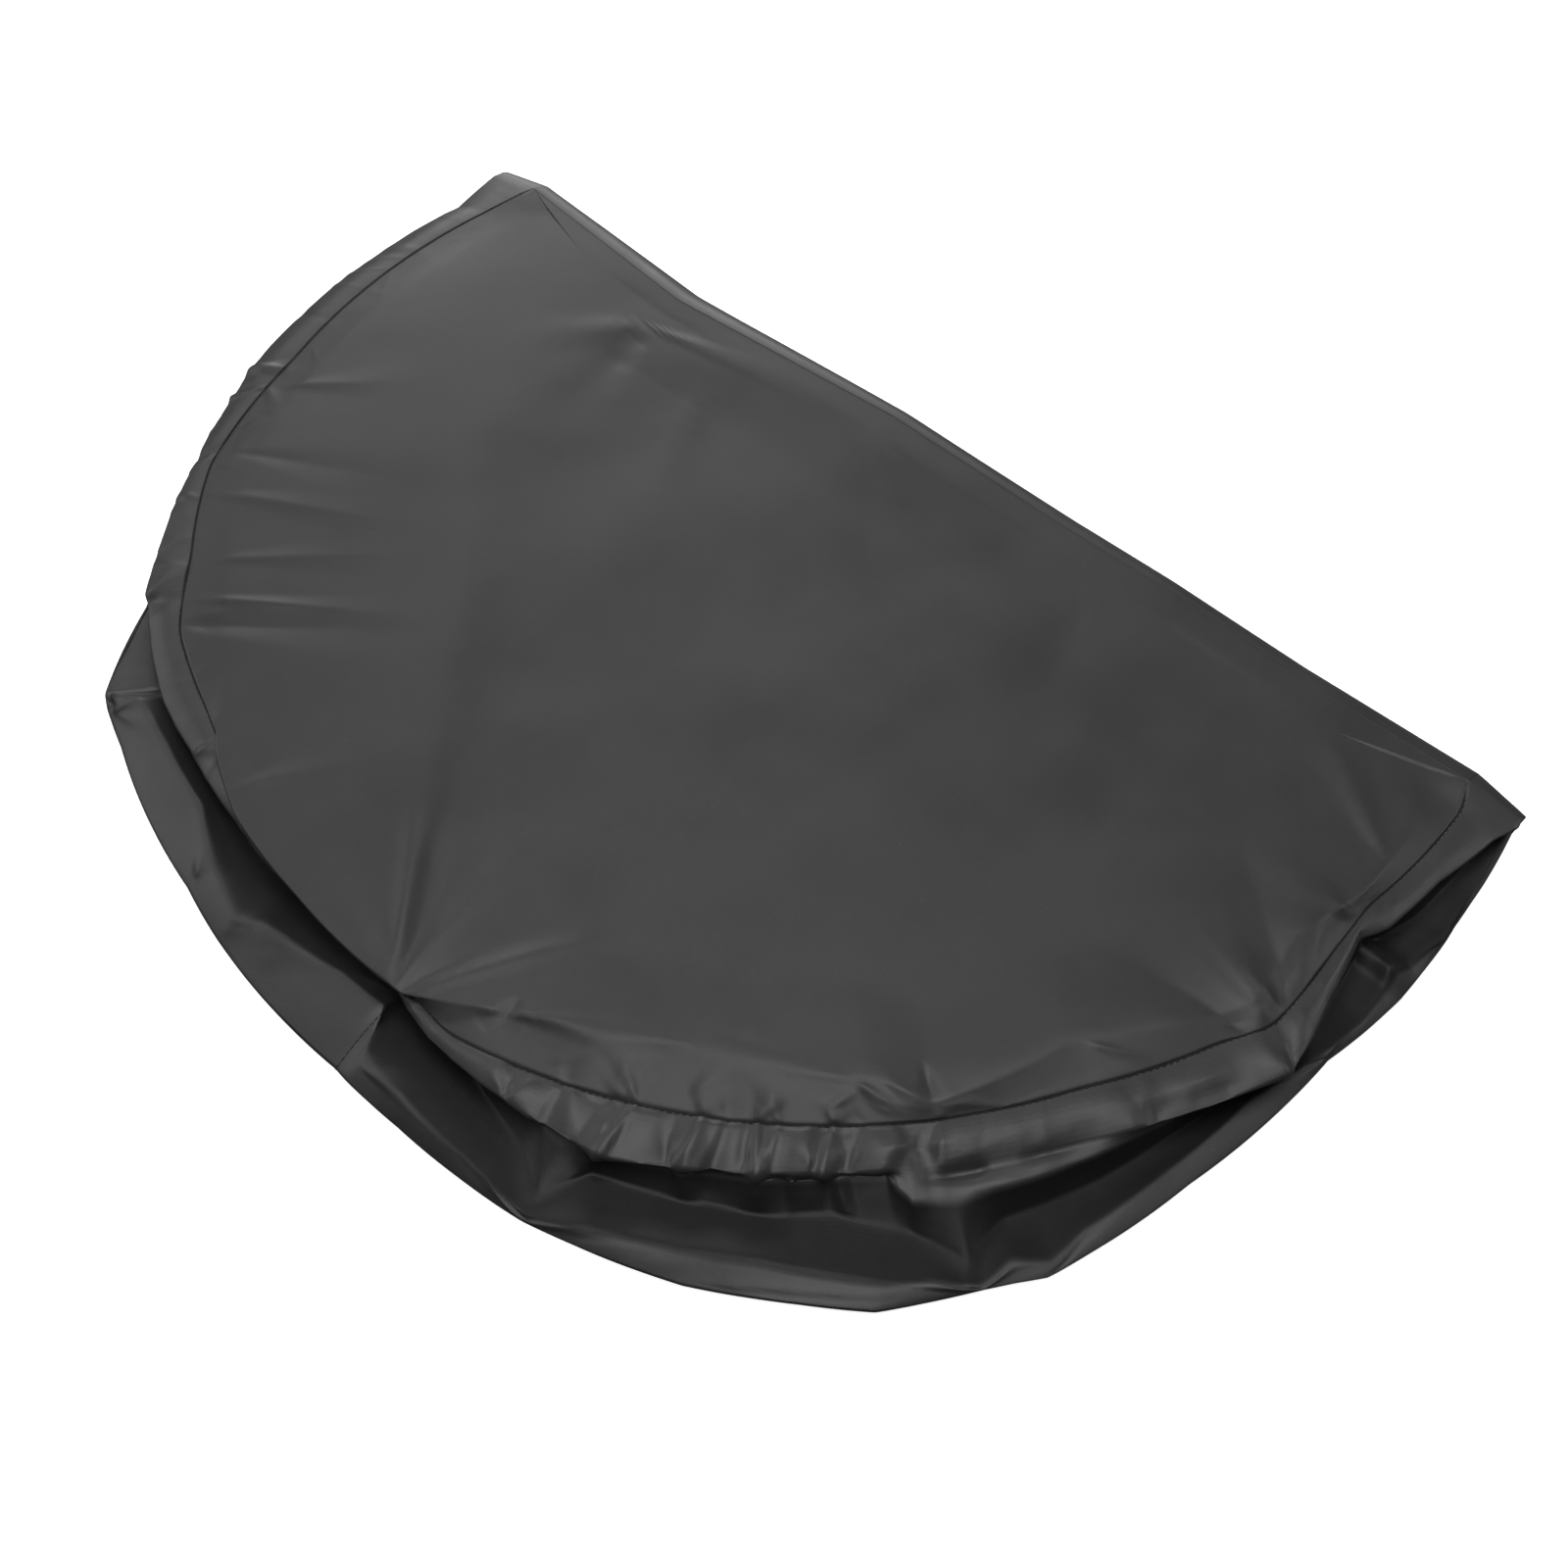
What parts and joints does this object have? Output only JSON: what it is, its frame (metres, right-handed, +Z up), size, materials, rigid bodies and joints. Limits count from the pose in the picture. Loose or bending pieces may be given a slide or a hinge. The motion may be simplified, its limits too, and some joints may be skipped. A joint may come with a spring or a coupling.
{
  "type": "spare tire cover",
  "caption": "Spare tire cover: a round coated-cloth face with a gathered side band and an elastic hem, collapsed flat and folded over for storage.",
  "frame": {"origin": "middle of the footprint, on the surface that the cover lies on", "axes": "+X along the fold, +Y towards the fold, +Z up"},
  "size_m": [0.8038, 0.51, 0.0304],
  "materials": {
    "coated_cloth": "smooth dark coated cloth, satin",
    "elastic": "braided elastic",
    "thread": "polyester sewing thread"
  },
  "bodies": {
    "flap": {"face_panel_flap": "coated_cloth", "face_panel_fold": "coated_cloth", "side_band_flap": "coated_cloth", "hem_elastic_flap": "elastic", "face_seam_thread_flap": "thread", "hem_thread_flap": "thread"},
    "top": {"face_panel_top": "coated_cloth", "side_band_outer": "coated_cloth", "side_band_tucked": "coated_cloth", "hem_elastic_top": "elastic", "face_seam_thread_top": "thread", "hem_thread_top": "thread", "band_join_thread": "thread"}
  },
  "joints": [
    {"name": "fold", "type": "hinge", "parent": "flap", "child": "top", "pos_m": [0, 0.24, 0.015], "axis": [-1, 0, 0], "range_deg": [0, 180]}
  ]
}
